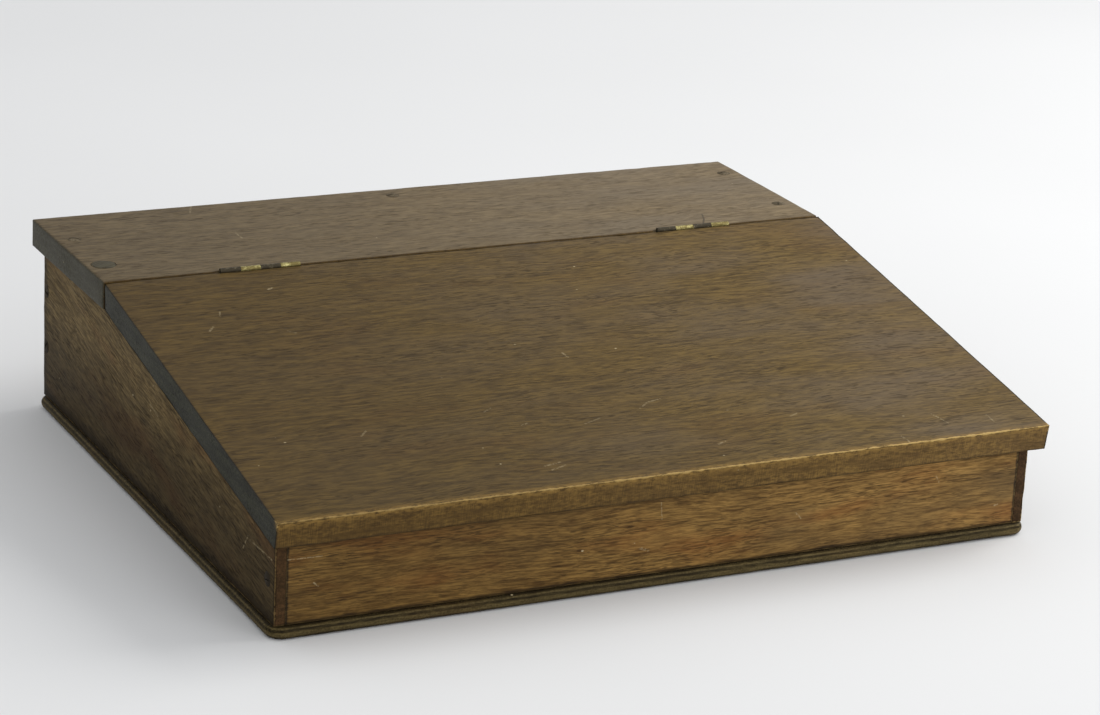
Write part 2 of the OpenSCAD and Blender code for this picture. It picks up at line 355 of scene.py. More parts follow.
# An outline in Y and Z, drawn out along X
def prismShape(name, outline, fromX, toX):
    bm = bmesh.new()
    face = bm.faces.new([bm.verts.new((fromX, y, z)) for y, z in outline])
    drawn = bmesh.ops.extrude_face_region(bm, geom=[face])
    moved = [item for item in drawn["geom"] if isinstance(item, bmesh.types.BMVert)]
    bmesh.ops.translate(bm, vec=(toX - fromX, 0, 0), verts=moved)
    bmesh.ops.recalc_face_normals(bm, faces=bm.faces)
    return newObject(name, bm)


# A profile of (radius, height) points turned about Z, copied to each of the places
def turnedShape(name, profile, places, steps=40):
    bm = bmesh.new()
    verts = [bm.verts.new((radius, 0, height)) for radius, height in profile]
    edges = [bm.edges.new(pair) for pair in zip(verts, verts[1:])]
    bmesh.ops.spin(
        bm, geom=verts + edges, cent=(0, 0, 0), axis=(0, 0, 1), angle=2 * math.pi,
        steps=steps, use_merge=True, use_duplicate=False
    )
    bmesh.ops.remove_doubles(bm, verts=bm.verts, dist=0.0005)
    bmesh.ops.recalc_face_normals(bm, faces=bm.faces)
    return copiedShape(name, bm, places)


def copiedShape(name, bm, places):
    master = bpy.data.meshes.new(name)
    bm.to_mesh(master)
    bm.free()
    copies = bmesh.new()
    for place in places:
        before = len(copies.verts)
        copies.from_mesh(master)
        copies.verts.ensure_lookup_table()
        bmesh.ops.transform(copies, matrix=place, verts=copies.verts[before:])
    bpy.data.meshes.remove(master)
    return newObject(name, copies)


# Every board is sliced up to this far beside its arrises, and arrises sharper than this angle
# are rounded in this many steps
arrisSettings = {"support": 1.6, "angle": 30, "steps": 3}


# Slices a board about spacing apart along each axis, and rounds its arrises
def easeArrises(shape, arris, spacing):
    s = arrisSettings
    bm = bmesh.new()
    bm.from_mesh(shape.data)
    bmesh.ops.remove_doubles(bm, verts=bm.verts, dist=0.001)
    bmesh.ops.dissolve_limit(bm, angle_limit=math.radians(1), verts=bm.verts, edges=bm.edges)
    low = Vector([min(vert.co[axis] for vert in bm.verts) for axis in range(3)])
    high = Vector([max(vert.co[axis] for vert in bm.verts) for axis in range(3)])
    for axis in range(3):
        inset = arris + s["support"]
        length = high[axis] - low[axis] - 2 * inset
        count = max(1, round(length / spacing[axis]))
        normal = Vector([1.0 if index == axis else 0.0 for index in range(3)])
        for step in range(count + 1):
            place = normal * (low[axis] + inset + length * step / count)
            everything = bm.verts[:] + bm.edges[:] + bm.faces[:]
            bmesh.ops.bisect_plane(bm, geom=everything, dist=0.01, plane_co=place, plane_no=normal)
    sharp = [edge for edge in bm.edges if edge.is_manifold
             and edge.calc_face_angle_signed(0.0) > math.radians(s["angle"])]
    bmesh.ops.bevel(
        bm, geom=sharp, offset=arris, offset_type="OFFSET", segments=s["steps"], profile=0.5,
        affect="EDGES", clamp_overlap=True, material=-1
    )
    bm.to_mesh(shape.data)
    bm.free()


# How arrises wear down: evenly, in broad hollows, in small dents and in a few chips; each of
# the last three is noise with this frequency per millimetre and this share of the wear
wearSettings = {
    "even": 0.35, "hollow": (0.03, 0.5), "dent": (0.21, 0.35), "chip": (0.11, 2.2), "chipFrom": 0.32,
    "cornerReach": 6, "cornerWear": 1.6,
}


# Wears the rounded arrises of a convex board down unevenly; faces are (point, outward normal)
def wearDown(shape, faces, reach, wear, seed):
    s = wearSettings
    bm = bmesh.new()
    bm.from_mesh(shape.data)
    bm.normal_update()
    shifts = []
    for vert in bm.verts:
        under = sorted((Vector(point) - vert.co).dot(normal) for point, normal in faces)
        if under[1] > reach:
            continue
        place = vert.co + Vector((seed, 0, 0))
        hollow = noise.noise(place * s["hollow"][0]) * s["hollow"][1]
        dent = noise.noise(place * s["dent"][0]) * s["dent"][1]
        chip = noise.noise(place * s["chip"][0] + Vector((0, 0, 40))) - s["chipFrom"]
        depth = s["even"] + hollow + dent + max(0.0, chip) * s["chip"][1]
        corner = s["cornerWear"] if under[2] < s["cornerReach"] else 1.0
        depth = max(0.0, depth) * wear * corner * (1 - 0.5 * under[1] / reach)
        shifts.append((vert, vert.normal * -depth))
    for vert, shift in shifts:
        vert.co += shift
    bm.to_mesh(shape.data)
    bm.free()


# Screws
screwSettings = {
    "case": {"head": 4.0, "shank": 2.1, "rim": 0.25, "slot": (1.1, 0.9)},
    "leaf": {"head": 2.6, "shank": 1.4, "rim": 0.15, "slot": (0.9, 0.5)},
    "tipShare": 0.25,
    "headEase": (0.12, 0.08),
    "arcSteps": 6,
    "seatGap": 0.12,
}


# The outline of a screw or, grown by gap, of its hole: the head's face is at height 0
def screwProfile(kind, length, dome=0.0, gap=0.0):
    settings = screwSettings[kind]
    head = settings["head"] + gap
    shank = settings["shank"] + gap
    rim = settings["rim"]
    easeIn, easeDown = screwSettings["headEase"]
    profile = []
    if dome > 0:
        ball = (head ** 2 + dome ** 2) / (2 * dome)
        for step in range(screwSettings["arcSteps"]):
            radius = head * step / screwSettings["arcSteps"]
            profile.append((radius, dome - ball + math.sqrt(ball ** 2 - radius ** 2)))
    else:
        profile.append((0, 0))
        profile.append((head - easeIn, 0))
    profile.append((head, -easeDown))
    profile.append((head, -rim))
    profile.append((shank, -rim - (head - shank)))
    profile.append((shank, -length * (1 - screwSettings["tipShare"])))
    profile.append((0, -length))
    return profile


# A cutter for the seats and holes of screws: a flat screw a little too big, whose head is drawn
# up to above in place of its face and its eased rim
def screwRoom(kind, length, places, above):
    gap = screwSettings["seatGap"]
    profile = screwProfile(kind, length + gap, 0.0, gap)
    head = profile[2][0]
    profile[0:2] = [(0, above), (head, above)]
    return turnedShape("room", profile, places, 36)


# The places of a node's screws: out is the way that their heads face
def screwPlaces(node, out, dome, turns=(0.0,)):
    out = Vector(out)
    places = []
    for index, (low, high) in enumerate(solidsOf(node)):
        middle = (low + high) / 2
        axis = [abs(value) for value in out].index(1.0)
        middle[axis] = (high if out[axis] > 0 else low)[axis] - out[axis] * dome
        turn = Matrix.Rotation(math.radians(turns[index % len(turns)]), 4, "Z")
        places.append(Matrix.Translation(middle) @ out.to_track_quat("Z", "Y").to_matrix().to_4x4() @ turn)
    return places


def screwLength(node, out, dome):
    low, high = solidsOf(node)[0]
    return max(abs(value * (high - low)[axis]) for axis, value in enumerate(out)) - dome


# The screws themselves, slotted
def screwShape(name, kind, node, out, dome, turns):
    settings = screwSettings[kind]
    length = screwLength(node, out, dome)
    master = turnedShape(name, screwProfile(kind, length, dome), [Matrix()])
    width, depth = settings["slot"]
    reach = settings["head"] + 1
    slot = blockShape("slot", (-reach, -width / 2, dome - depth), (reach, width / 2, dome + 1))
    carve(master, [slot])
    bm = bmesh.new()
    bm.from_mesh(master.data)
    bpy.data.objects.remove(master)
    return copiedShape(name, bm, screwPlaces(node, out, dome, turns))


# Wood. Every part of its figure is noise: its features' length, width and thickness along,
# across and through the grain in millimetres, its detail and roughness, and its own seed shift
woodNoise = {
    "drift": ((170, 60, 60), 2.0, 0.5, 0), "curl": ((26, 30, 30), 1.0, 0.5, 3),
    "cloud": ((110, 45, 45), 3.0, 0.55, 7), "warm": ((90, 22, 22), 2.0, 0.5, 37),
    "figure": ((46, 5.0, 5.0), 4.0, 0.62, 11), "streak": ((14, 1.4, 1.4), 3.0, 0.65, 13),
    "fibre": ((6, 0.7, 0.7), 2.0, 0.6, 17), "poreBand": ((50, 9, 9), 2.0, 0.5, 23),
    "shortPore": ((7, 0.8, 0.8), 1.0, 0.5, 29), "longPore": ((14, 1.0, 1.0), 1.0, 0.5, 31),
    "ragged": ((11, 2.5, 2.5), 3.0, 0.6, 41), "sawMarks": ((0.55, 30, 30), 2.0, 0.55, 43),
    "chips": ((4.0, 1.6, 1.6), 4.0, 0.7, 45), "grit": ((1.1, 1.1, 1.1), 3.0, 0.6, 47),
    "rings": ((40, 40, 3.5), 3.0, 0.6, 53), "nickPatch": ((60, 60, 60), 1.0, 0.5, 59),
    "broken": ((1.6, 1.6, 1.6), 1.0, 0.5, 61),
}
woodSettings = {
    "squeezed": ("streak", "fibre", "shortPore", "longPore"),  # the look's fine thins these
    # painted shade: the boards are painted darker towards the box's left between these two ends
    "leftEnd": -240, "rightEnd": 240,  # the box darkens towards the left between these
    "leftGreen": 0.97, "leftBlue": 0.86,
    "sawDepth": (0.3, 1.0), "endDepth": (0.35, 0.75),  # how deep a sawn face's look reaches
    "wornDepth": (2.0, 5.0), "haloDepth": (1.0, 6.0),  # how far wear reaches from a worn face
    "haloWidth": (0.5, 6.0), "dirtWidth": (0.4, 1.5),  # beside an arris
    "nickSpacing": (17, 12, 12), "nickSize": (0.03, 0.055),
}

# A look holds a board's colours and how strongly each part of its figure shows:
#   light, dark: the wood between its pores     dusk, warm: soft cloudy patches, dusk partly painted sheen
#   pore: the dashes of open pores              fresh: bare wood on worn arrises
#   end: sawn end grain                         edge: a sawn edge along the grain
#    grimeAndShade: dirt and painted shade along joints, in corners and under the lid   scratch: the bottom of scratches and nicks
# This is the lid's own look, which the other boards' looks vary
lidLook = {
    "light": tint(119, 96, 50), "dark": tint(79, 61, 29), "fibre": 0.3, "fine": 1.4, "streak": 0.7,
    "dusk": tint(103, 90, 75), "duskShare": 0.5, "duskSpread": (0.3, 0.75),
    "warm": tint(106, 77, 42), "warmShare": 0.18, "pore": tint(46, 35, 20), "poreShare": 0.6,
    "end": tint(56, 57, 38), "endDark": tint(25, 23, 14), "grimeAndShade": tint(26, 20, 13),
    "edgeLight": tint(150, 118, 61), "edgeDark": tint(84, 62, 30), "sawShare": 0.75,
    "fresh": tint(200, 169, 106), "wearWidth": 1.3, "wearShare": 0.8, "haloShare": 0.55,
    # the left tone is painted shade: how dark the boards are painted at the box's left
    "wornFaces": (2, 5), "arrisDirt": 0.45, "leftShadeLevel": 0.6, "drift": 16, "curl": 3.0,
    "scratch": tint(190, 174, 138), "scratchShare": 0.55, "nickShare": 0.7,
    "roughness": 0.5, "specular": 0.12, "bump": 0.12, "seed": 2.0,
}


# One board's wood: where a point lies along, across and through its grain, how deep it lies
# under each face, and the patterns that several of its layers share
class Wood:
    def __init__(self, name, look, grain, faces):
        shader = self.shader = Shader(name)
        self.look = look
        place = shader.add("ShaderNodeTexCoord", {}, {}, 3)
        self.place = shader.vector("MULTIPLY", place, (1 / mm, 1 / mm, 1 / mm))
        grain = Vector(grain).normalized()
        across = Vector((0, 0, 1)).cross(grain).normalized()
        up = grain.cross(across)
        x, y, z = [shader.vector("DOT_PRODUCT", self.place, tuple(axis), 1) for axis in (grain, across, up)]
        self.level = z
        self.board = shader.join(x, y, z)
        drift = (self.noise("drift", self.board) - 0.5) * look["drift"]
        curl = (self.noise("curl", self.board) - 0.5) * look["curl"]
        self.flow = shader.join(x, y + drift + curl, z + drift)
        self.under, self.arris = shader.depths(self.place, faces)
        self.cloud = self.noise("cloud", self.flow)
        self.figure = self.noise("figure", self.flow)
        self.fibre = self.noise("fibre", self.flow)
        self.pores = self.openPores()
        self.ragged = self.noise("ragged", self.board)
        self.chips = self.noise("chips", self.board)
        self.grit = self.noise("grit", self.board)
        self.addPaintedLeftShade()

    def noise(self, part, place):
        size, detail, roughness, shift = woodNoise[part]
        if part in woodSettings["squeezed"]:
            size = (size[0], size[1] * self.look["fine"], size[2] * self.look["fine"])
        return self.shader.noise(place, size, detail, roughness, self.look["seed"] + shift)

    # Short dashes nearly everywhere, and long ones where the pores are crowded
    def openPores(self):
        band = self.noise("poreBand", self.flow).rise(0.3, 0.66)
        short = self.noise("shortPore", self.flow).rise(0.54, 0.68)
        long = self.noise("longPore", self.flow).rise(0.56, 0.7)
        return (short * (0.35 + 0.65 * band)).most(long * band)

    # Painted shade: the boards are painted darker and yellower towards the box's left, where less light
    # falls
    def addPaintedLeftShade(self):
        s = woodSettings
        tone = self.look["leftShadeLevel"]
        self.along = self.shader.axes(self.place)[0].rise(s["leftEnd"], s["rightEnd"])
        shade = tone + (1 - tone) * self.along
        green = shade * (s["leftGreen"] + (1 - s["leftGreen"]) * self.along)
        blue = shade * (s["leftBlue"] + (1 - s["leftBlue"]) * self.along)
        self.paintedLeftShade = self.shader.join(shade, green, blue)

    def paintLeftShade(self, color):
        return self.shader.mix(1.0, color, self.paintedLeftShade, "MULTIPLY")

    # 1 within width of a stroke from start to end, with soft edges
    def line(self, start, end, width):
        return self.shader.stroke(self.place, start, end).fall(width * 0.4, width)

    # The varnished faces
    def figured(self):
        shader, look = self.shader, self.look
        streak = self.noise("streak", self.flow).rise(0.34, 0.66)
        tone = self.figure.rise(0.3, 0.7) * (1 - look["streak"]) + streak * look["streak"]
        color = shader.mix(tone, look["dark"], look["light"])
        # Painted sheen, in part: the dusk patches are the wood's own cloudy tone, made stronger towards the
        # box's right, which paints a greyish sheen on the lid and the ledge there
        dusk = self.cloud.rise(*look["duskSpread"]) * (0.4 + self.along)
        color = shader.mix(dusk * look["duskShare"], color, look["dusk"])
        warm = self.noise("warm", self.flow).rise(0.5, 0.72)
        color = shader.mix(warm * look["warmShare"], color, look["warm"])
        shade = 1 + (self.fibre - 0.5) * look["fibre"] * 2
        color = shader.mix(1.0, color, shader.join(shade, shade, shade), "MULTIPLY")
        return shader.mix(self.pores * look["poreShare"], self.paintLeftShade(color), look["pore"])

    # Dirt and painted shade: each of bands is (face, width, share), darker within width of that face; they
    # stand for dirt at joints and for the shade in corners and under the lid
    def soiledAndShaded(self, color, bands):
        for index, width, share in bands:
            edge = self.under[index] + (self.ragged - 0.5) * width * 0.8
            color = self.shader.mix(edge.fall(width * 0.35, width) * share, color, self.look["grimeAndShade"])
        return color

    # A sawn edge along the grain, with saw marks across it
    def sawn(self, color, face):
        shader, look = self.shader, self.look
        marks = (self.noise("sawMarks", self.board) * 0.4 + self.chips * 0.6).rise(0.38, 0.64)
        tone = shader.mix(marks * look["sawShare"], look["edgeDark"], look["edgeLight"])
        tone = shader.mix(self.figure.rise(0.42, 0.7) * 0.75, tone, look["edgeDark"])
        tone = shader.mix(self.pores * look["poreShare"] * 0.6, tone, look["pore"])
        share = self.under[face].fall(*woodSettings["sawDepth"]) * 0.85
        return shader.mix(share, color, self.paintLeftShade(tone))

    # End grain on each of the faces
    def endGrain(self, color, faces):
        shader, look = self.shader, self.look
        for index in faces:
            tone = shader.mix(self.grit.rise(0.3, 0.75), look["endDark"], look["end"])
            rings = self.noise("rings", self.board).rise(0.42, 0.62)
            tone = shader.mix(rings * 0.6, tone, look["endDark"])
            color = shader.mix(self.under[index].fall(*woodSettings["endDepth"]), color, tone)
        return color

    # Lines along a moulded edge, painted highlight and shade as well as wear and dirt: each of layers is
    # (height, width, color, share)
    def lined(self, color, layers):
        for height, width, layerColor, share in layers:
            level = self.level - height + (self.ragged - 0.5) * 0.6
            stripe = level.most(-1.0 * level).fall(width * 0.4, width)
            stripe = stripe * (0.4 + 0.6 * self.grit.rise(0.4, 0.6))
            color = self.shader.mix(stripe * share, color, layerColor)
        return color

    def cracked(self, color, cracks):
        for start, end, width, share in cracks:
            color = self.shader.mix(self.line(start, end, width) * share, color, self.look["grimeAndShade"])
        return color

    # Arrises: rubbed to bare wood where the look says, and dirty beside that
    def worn(self, color):
        s, shader, look = woodSettings, self.shader, self.look
        width = look["wearWidth"]
        rubbed = self.arris - ((self.ragged + self.chips) * 1.7 - 1.45) * width
        rubbed = rubbed.fall(0.0, width * 0.5)
        halo = self.arris.fall(*s["haloWidth"]) * look["haloShare"] * self.chips.rise(0.3, 0.6)
        for index in look["wornFaces"]:
            rubbed = rubbed * self.under[index].fall(*s["wornDepth"])
            halo = halo * self.under[index].fall(*s["haloDepth"])
        color = shader.mix(halo, color, look["edgeLight"])
        rubbed = rubbed * (0.45 + 0.55 * self.along)
        darkening = self.arris.fall(*s["dirtWidth"]) * (1 - rubbed) * look["arrisDirt"]
        color = shader.mix(darkening, color, look["grimeAndShade"])
        return shader.mix(rubbed * look["wearShare"], color, look["fresh"])

    # How much a point lies in a scratch or a nick
    def scratches(self, strokes):
        s = woodSettings
        nick = self.shader.specks(self.board, s["nickSpacing"], self.look["seed"]).fall(*s["nickSize"])
        nick = nick * self.noise("nickPatch", self.board).rise(0.52, 0.6)
        broken = self.noise("broken", self.board).rise(0.36, 0.56)
        for start, end, width, share in strokes:
            scratch = self.line(start, end, width) * broken
            nick = nick.most(scratch * share * self.look["scratchShare"])
        return nick


# A board's material. grain is the way that its grain runs, faces its outside, saw its sawn
# edge and ends its end grain; strokes and cracks are each (start, end, width, share)
def woodShader(name, look, grain, faces, saw=None, ends=(), bands=(), layers=(), strokes=(), cracks=()):
    wood = Wood(name, look, grain, faces)
    color = wood.soiledAndShaded(wood.figured(), bands)
    if saw is not None:
        color = wood.sawn(color, saw)
    color = wood.lined(wood.endGrain(color, ends), layers)
    color = wood.worn(wood.cracked(color, cracks))
    nick = wood.scratches(strokes)
    color = wood.shader.mix(nick * look["nickShare"], color, look["scratch"])
    fibre = wood.fibre - 0.5
    roughness = look["roughness"] + (wood.cloud - 0.5) * 0.16 + wood.pores * 0.12 + fibre * 0.1
    height = 0.5 + fibre * 0.25 - wood.pores * 0.45 - nick * 0.3
    return wood.shader.surface(color, roughness, 0.0, height, look["bump"] * mm, look["specular"])


# The faces of a block, in the order -x, +x, -y, +y, -z, +z
def blockFaces(low, high):
    return [
        (tuple(low), (-1, 0, 0)), (tuple(high), (1, 0, 0)), (tuple(low), (0, -1, 0)),
        (tuple(high), (0, 1, 0)), (tuple(low), (0, 0, -1)), (tuple(high), (0, 0, 1)),
    ]


# Hinges
hingeSettings = {
    "knuckle": 1.7, "pin": 0.9, "pinGap": 0.05, "leafThick": 1.0, "leafGap": 0.3, "leafHeight": 12.0,
    "grooveGap": 0.4, "grooveSpare": 2.0, "mortiseGap": 0.1, "knuckleGap": 0.2, "ease": 0.12,
    "roomReach": 3.0, "screwAbove": 1.0, "screwTurns": (0, 35, 70),
}


# A rod along the hinges' pin axis
def rod(name, fromX, toX, radius, ease=0.0, steps=40):
    length = toX - fromX
    profile = [(0, 0), (radius - ease, 0), (radius, ease), (radius, length - ease)]
    profile += [(radius - ease, length), (0, length)]
    lay = Matrix.Translation((fromX, pinPlace.y, pinPlace.z)) @ Matrix.Rotation(math.pi / 2, 4, "Y")
    return turnedShape(name, profile, [lay], steps)


# Several shapes that don't touch, as one
def joined(shapes):
    bm = bmesh.new()
    for shape in shapes:
        bm.from_mesh(shape.data)
        bpy.data.objects.remove(shape)
    return newObject("joined", bm)


# The cutter for a leaf's screws
def leafScrewRoom(name, side, half):
    node = f"hinge_{name}_{half}_screws"
    out = (0, -side, 0)
    above = hingeSettings["screwAbove"]
    return screwRoom("leaf", screwLength(node, out, 0), screwPlaces(node, out, 0), above)


# The cutters for all that the hinges take out of a board: side is 1 for the ledge, -1 for the lid
def hingeRooms(side, half):
    s = hingeSettings
    gap = s["mortiseGap"]
    inner = pinPlace.y + side * (s["leafGap"] / 2 + s["leafThick"])
    outer = pinPlace.y - side * s["roomReach"]
    rooms = []
    for name, (start, end) in hingeEnds.items():
        radius = s["knuckle"] + s["grooveGap"]
        groove = rod("groove", start - s["grooveSpare"], end + s["grooveGap"], radius)
        mortise = blockShape(
            "mortise", (start - gap, min(inner, outer), pinPlace.z - s["leafHeight"] - gap),
            (end + gap, max(inner, outer), pinPlace.z + 1)
        )
        carve(groove, [mortise, leafScrewRoom(name, side, half)], "UNION")
        rooms.append(groove)
    return rooms


# A leaf with its two knuckles: knuckles are the quarters of the hinge's length that are its own
def addLeaf(name, side, half, knuckles, body, material):
    s = hingeSettings
    start, end = hingeEnds[name]
    quarter = (end - start) / 4
    face = pinPlace.y + side * s["leafGap"] / 2
    back = pinPlace.y + side * (s["leafGap"] / 2 + s["leafThick"])
    leaf = blockShape(
        f"hinge_{name}_{half}_plate", (start, min(face, back), pinPlace.z - s["leafHeight"]),
        (end, max(face, back), pinPlace.z)
    )
    own = []
    others = []
    gap = s["knuckleGap"] / 2
    for index in range(4):
        low = start + index * quarter
        high = low + quarter
        if index in knuckles:
            own.append(rod("knuckle", low + gap * (index > 0), high - gap * (index < 3), s["knuckle"]))
        else:
            others.append(rod("room", low - gap, high + gap, s["knuckle"] + s["grooveGap"]))
    carve(leaf, [joined(own)], "UNION")
    bore = rod("bore", start - 1, end + 1, s["pin"] + (s["pinGap"] if side < 0 else 0.0))
    carve(leaf, [joined(others)])
    carve(leaf, [bore])
    carve(leaf, [leafScrewRoom(name, side, half)])
    ease = leaf.modifiers.new("ease", "BEVEL")
    ease.width = s["ease"]
    ease.segments = 2
    ease.limit_method = "ANGLE"
    ease.angle_limit = math.radians(50)
    carve(leaf, [])
    return finishPiece(leaf, f"hinge_{name}_{half}_leaf", body, material)


def addPin(name, material):
    start, end = hingeEnds[name]
    pin = rod(f"hinge_{name}_pin_rod", start, end, hingeSettings["pin"], 0.3)
    return finishPiece(pin, f"hinge_{name}_pin", "case", material)


# Brass and steel: rubbed is how much bare bright metal shows through the tarnish
metals = {
    "bright_brass": {
        "bright": tint(205, 196, 136), "dull": tint(118, 106, 64), "rubbed": 0.45,
        "roughness": 0.36, "metallic": 0.85, "specular": 0.5, "seed": 3.0,
    },
    "tarnished_brass": {
        "bright": tint(158, 146, 116), "dull": tint(58, 51, 37), "rubbed": 0.3,
        "roughness": 0.38, "metallic": 0.6, "specular": 0.4, "seed": 8.0,
    },
    "dark_steel": {
        "bright": tint(134, 121, 99), "dull": tint(88, 78, 62), "rubbed": 0.35,
        "roughness": 0.55, "metallic": 0.15, "specular": 0.15, "seed": 13.0,
    },
}
# Painted shade: screws low on the box, on its sides, are painted darker than the lit ones on its top
metalLowShade = {"color": tint(26, 20, 13), "heights": (70, 95), "share": 0.8}  # low on the box


def metalShader(name):
    look = metals[name]
    shader = Shader(name)
    place = shader.add("ShaderNodeTexCoord", {}, {}, 3)
    place = shader.vector("MULTIPLY", place, (1 / mm, 1 / mm, 1 / mm))
    broad = shader.noise(place, (5, 3, 3), 3.0, 0.6, look["seed"])
    fine = shader.noise(place, (0.7, 0.4, 0.4), 3.0, 0.6, look["seed"] + 5)
    brushed = shader.noise(place, (6, 0.25, 0.25), 2.0, 0.5, look["seed"] + 9)
    bare = look["rubbed"] * 0.35
    wear = (broad * 0.6 + fine * 0.4).rise(0.62 - bare, 0.82 - bare)
    color = shader.mix(wear, look["dull"], look["bright"])
    # painted shade on the metal low on the box
    grimeAndShade = shader.axes(place)[2].fall(*metalLowShade["heights"]) * metalLowShade["share"]
    color = shader.mix(grimeAndShade, color, metalLowShade["color"])
    rough = look["roughness"] + (1 - wear) * 0.22 + (brushed - 0.5) * 0.12
    height = fine * 0.6 + brushed * 0.4
    return shader.surface(color, rough, look["metallic"], height, 0.03 * mm, look["specular"])


slope = math.radians(9.8)  # the lid's
caseDome = boxOf("ledge_screws")[1].z - boxOf("ledge_board")[1].z

# In each board's settings, in millimetres: arris is how far its arrises are rounded, wear how
# deep they wear, wearReach how far from an arris, and spacing how far apart it is sliced; the dark bands
# are (face, width, share), dirt and painted shade, and strokes and cracks are (start, end, width, share)

# The lid, with the scratches on its top
lidSettings = {
    "arris": 0.8, "wear": 0.5, "wearReach": 0.88, "wearSeed": 5.0, "spacing": (4, 8, 20),
    "strokes": (
        ((-7, -62, 92.3), (-6, -67, 91.5), 0.9, 0.8),
        ((8, -129, 80.8), (15.5, -123.5, 81.7), 0.8, 0.5),
        ((15.5, -123.5, 81.7), (24, -122, 82), 0.8, 0.7),
        ((-30, -138, 79.2), (-19, -134, 79.9), 0.7, 0.4),
        ((-155, -124, 81.7), (-150.5, -119.5, 82.4), 0.8, 0.6),
        ((-79, -114, 83.3), (-74, -111, 83.9), 0.7, 0.6),
        ((-66, -132.5, 80.1), (-61, -130.5, 80.5), 0.7, 0.6),
        ((-71.5, -174.5, 72.9), (-61.5, -172.5, 73.3), 0.8, 0.7),
        ((-69.5, -179, 72.1), (-60, -176, 72.7), 0.8, 0.6),
        ((33, -174, 73), (38, -172, 73.4), 0.8, 0.7), ((88, -155, 76.3), (93.5, -153, 76.7), 0.7, 0.6),
        ((139.5, -189, 70.4), (141, -197, 69), 0.9, 0.7),
        ((170, -170.5, 73.6), (171.5, -174.5, 72.9), 0.9, 0.9),
        ((171.5, -174.5, 72.9), (174, -181.5, 71.7), 0.7, 0.6),
        ((201, -178.5, 72.2), (201.5, -185.5, 71), 0.8, 0.7),
        ((-193, 2, 103.4), (-188.5, 7, 104.3), 0.9, 0.7),
        ((-181, 17.5, 106.1), (-179.5, 22, 106.9), 0.7, 0.6),
        ((-142.5, 42.5, 110.4), (-140, 43.5, 110.6), 1.1, 1.0),
        ((-150, -6.5, 101.9), (-146.5, -9.5, 101.4), 0.7, 0.5),
    ),
}


def addLid():
    s = lidSettings
    low, high = boxOf("lid_panel")
    topFront = high.z - math.tan(slope) * (high.y - low.y)
    thick = (topFront - low.z) / math.cos(slope)
    bottomFront = low.y + thick * math.sin(slope)
    outline = [
        (high.y, high.z), (low.y, topFront),
        (bottomFront, low.z), (high.y, high.z - thick / math.cos(slope)),
    ]
    lid = prismShape("lid_board", outline, low.x, high.x)
    front = (0, low.y, topFront)
    faces = blockFaces(low, high)
    faces[2] = (front, (0, -math.cos(slope), -math.sin(slope)))
    faces[4] = ((0, bottomFront, low.z), (0, math.sin(slope), -math.cos(slope)))
    faces[5] = (front, (0, -math.sin(slope), math.cos(slope)))
    easeArrises(lid, s["arris"], s["spacing"])
    carve(lid, [joined(hingeRooms(-1, "lid"))])
    wearDown(lid, faces, s["wearReach"], s["wear"], s["wearSeed"])
    material = woodShader("lid_wood", lidLook, (1, 0, 0), faces, saw=2, ends=(0, 1), strokes=s["strokes"])
    return finishPiece(lid, "lid_panel", "lid", material)


# The ledge, with the scratches on its top and the crack beside the right hinge
ledgeSettings = {
    "arris": 0.7, "wear": 0.35, "wearReach": 0.77, "wearSeed": 11.0, "spacing": (4, 8, 20),
    "plugGap": 0.2, "cutAbove": 8.0,
    "strokes": (
        ((-126, 136, 114.8), (-126.3, 125.7, 114.8), 0.8, 0.7),
        ((-137.7, 182.4, 114.8), (-131.2, 198.1, 114.8), 0.8, 0.6),
    ),
    "cracks": (
        ((163, 92, 114.8), (159, 82, 114.8), 0.8, 0.45),
        ((159, 82, 114.8), (154.5, 74.5, 114.8), 0.8, 0.6),
    ),
}
ledgeLook = {
    **lidLook, "seed": 31.0, "wornFaces": (0,), "arrisDirt": 0.4, "wearShare": 0.15, "wearWidth": 1.0,
    "light": tint(137, 119, 89), "dark": tint(96, 80, 56), "dusk": tint(118, 106, 89), "duskShare": 0.6,
    "warm": tint(110, 90, 56), "poreShare": 0.5, "haloShare": 0.0,
    "end": tint(74, 72, 56), "endDark": tint(48, 44, 30),
}


def addLedge():
    s = ledgeSettings
    low, high = boxOf("ledge_board")
    ledge = blockShape("ledge_board_wood", low, high)
    easeArrises(ledge, s["arris"], s["spacing"])
    node = "ledge_screws"
    places = screwPlaces(node, (0, 0, 1), caseDome)
    screws = screwRoom("case", screwLength(node, (0, 0, 1), caseDome), places, s["cutAbove"])
    plugLow, plugHigh = boxOf("ledge_plug")
    middle = (plugLow + plugHigh) / 2
    radius = (plugHigh.x - plugLow.x) / 2 + s["plugGap"]
    top = high.z + s["cutAbove"]
    outline = [(0, plugLow.z), (radius, plugLow.z), (radius, top), (0, top)]
    seat = turnedShape("seat", outline, [Matrix.Translation((middle.x, middle.y, 0))], 64)
    carve(seat, [screws], "UNION")
    carve(ledge, [joined([seat] + hingeRooms(1, "ledge"))])
    faces = blockFaces(low, high)
    wearDown(ledge, faces, s["wearReach"], s["wear"], s["wearSeed"])
    marks = {"strokes": s["strokes"], "cracks": s["cracks"]}
    material = woodShader("ledge_wood", ledgeLook, (1, 0, 0), faces, saw=2, ends=(0, 1), **marks)
    return finishPiece(ledge, "ledge_board", "case", material)


# The cutter for a node's case screws
def caseScrewRoom(node, out, dome):
    above = 4.0
    return screwRoom("case", screwLength(node, out, dome), screwPlaces(node, out, dome), above)


